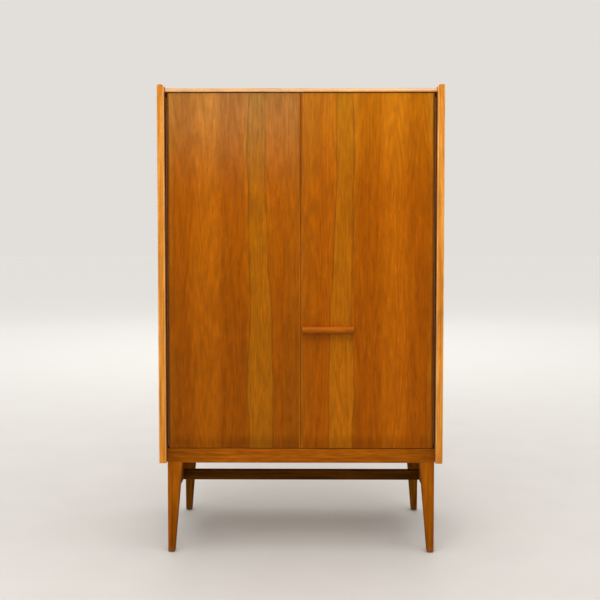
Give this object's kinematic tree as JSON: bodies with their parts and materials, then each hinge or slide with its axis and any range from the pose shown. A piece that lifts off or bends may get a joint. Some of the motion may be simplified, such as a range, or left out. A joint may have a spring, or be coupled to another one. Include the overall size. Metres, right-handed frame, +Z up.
{
  "type": "highboard",
  "caption": "Tall two-door cabinet on a tapered-leg frame, doors on continuous hinges between proud sides, bar handle on one door, adjustable shelves inside.",
  "frame": {"origin": "floor level, in the middle of the footprint", "axes": "+Z up, -Y to the front where the doors are, +X to the right of someone facing the doors"},
  "size_m": [0.8, 0.45, 1.325],
  "materials": {
    "teak_veneer": "satin lacquer over book-matched veneer",
    "teak_solid": "satin lacquer over solid wood",
    "inside_veneer": "matt lacquered pale veneer",
    "back_board": "raw plywood",
    "beech": "raw",
    "brass": "aged satin brass",
    "steel": "zinc plated",
    "magnet": "sintered",
    "catch_plastic": "moulded, matt",
    "felt": "pressed felt",
    "glide_plastic": "moulded, matt"
  },
  "bodies": {
    "case": {"apron_front": "teak_solid", "apron_rear": "teak_solid", "back_panel": "back_board", "back_panel_screws": "steel", "bottom_panel": "inside_veneer", "carcass_dowels": "beech", "catch_case_left": "catch_plastic", "catch_case_right": "catch_plastic", "catch_magnets": "magnet", "catch_screws": "steel", "corner_block_screws": "steel", "corner_blocks": "beech", "door_buffers": "felt", "hinge_case_leaf_left": "brass", "hinge_case_leaf_right": "brass", "hinge_case_screws": "brass", "hinge_pin_left": "steel", "hinge_pin_right": "steel", "lap_screws": "steel", "leg_front_left": "teak_solid", "leg_front_right": "teak_solid", "leg_glides": "glide_plastic", "leg_rear_left": "teak_solid", "leg_rear_right": "teak_solid", "shelf_lippings": "inside_veneer", "shelf_lower": "inside_veneer", "shelf_middle": "inside_veneer", "shelf_pins": "brass", "shelf_upper": "inside_veneer", "side_lipping_left": "teak_solid", "side_lipping_right": "teak_solid", "side_panel_left": "teak_veneer", "side_panel_right": "teak_veneer", "side_rail_left": "teak_solid", "side_rail_right": "teak_solid", "stretcher": "teak_solid", "top_lip": "teak_solid", "top_panel": "teak_veneer"},
    "door_left": {"door_left": "teak_veneer", "door_lippings_left": "teak_solid", "hinge_door_leaf_left": "brass", "hinge_door_screws_left": "brass", "catch_keeper_left": "steel", "keeper_screw_left": "steel"},
    "door_right": {"door_right": "teak_veneer", "door_lippings_right": "teak_solid", "hinge_door_leaf_right": "brass", "hinge_door_screws_right": "brass", "catch_keeper_right": "steel", "keeper_screw_right": "steel", "handle": "teak_solid", "handle_screws": "steel"}
  },
  "joints": [
    {"name": "door_left_hinge", "type": "hinge", "parent": "case", "child": "door_left", "pos_m": [-0.37725, -0.204, 0.802], "axis": [0, 0, -1], "range_deg": [0, 95]},
    {"name": "door_right_hinge", "type": "hinge", "parent": "case", "child": "door_right", "pos_m": [0.37725, -0.204, 0.802], "axis": [0, 0, 1], "range_deg": [0, 95]}
  ]
}
